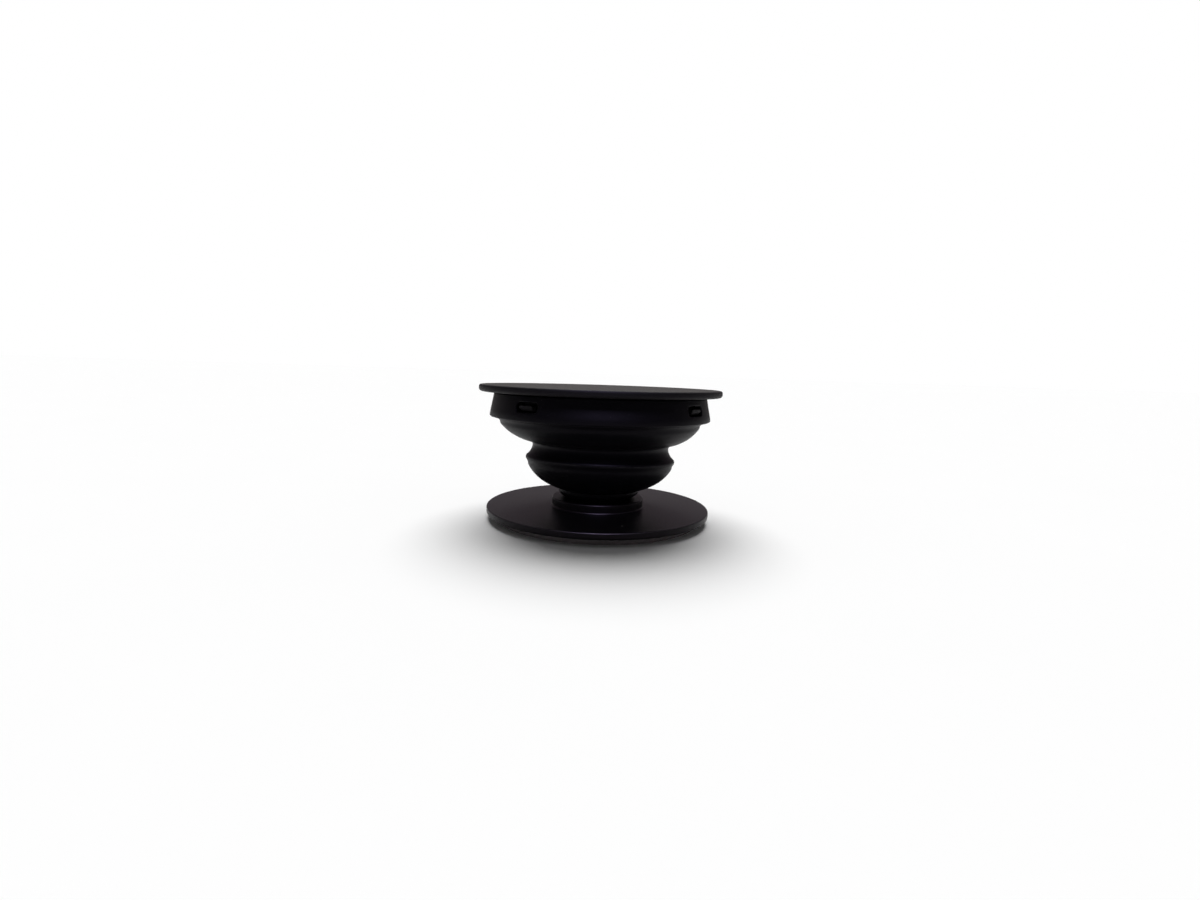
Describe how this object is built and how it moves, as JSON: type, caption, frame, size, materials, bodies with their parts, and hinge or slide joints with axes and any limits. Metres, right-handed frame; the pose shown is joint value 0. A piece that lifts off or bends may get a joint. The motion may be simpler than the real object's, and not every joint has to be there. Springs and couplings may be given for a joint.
{
  "type": "phone grip",
  "caption": "Round pop-out grip for the back of a phone: a disc on a collapsible bellows that swivels on an adhesive base.",
  "frame": {"origin": "centre of the adhesive pad's sticky face, at the bottom of the grip", "axes": "+Z along the grip's axis, out of the phone towards the top disc; the snap windows lie on +X, +Y, -X and -Y"},
  "size_m": [0.0396, 0.0396, 0.022],
  "materials": {
    "adhesive_pad": "matte foam",
    "base_disc": "satin black",
    "bellows": "satin black",
    "top_disc": "fine matte grain, black"
  },
  "bodies": {
    "base": {"base_disc": "base_disc", "adhesive_pad": "adhesive_pad"},
    "stem": {"bellows": "bellows"},
    "top": {"top_disc": "top_disc"}
  },
  "joints": [
    {"name": "swivel", "type": "hinge", "parent": "base", "child": "stem", "pos_m": [0, 0, 0.003], "axis": [0, 0, 1], "continuous": true},
    {"name": "collapse", "type": "slide", "parent": "stem", "child": "top", "axis": [0, 0, -1], "range_m": [0, 0.0144], "deforming": ["bellows"]}
  ]
}
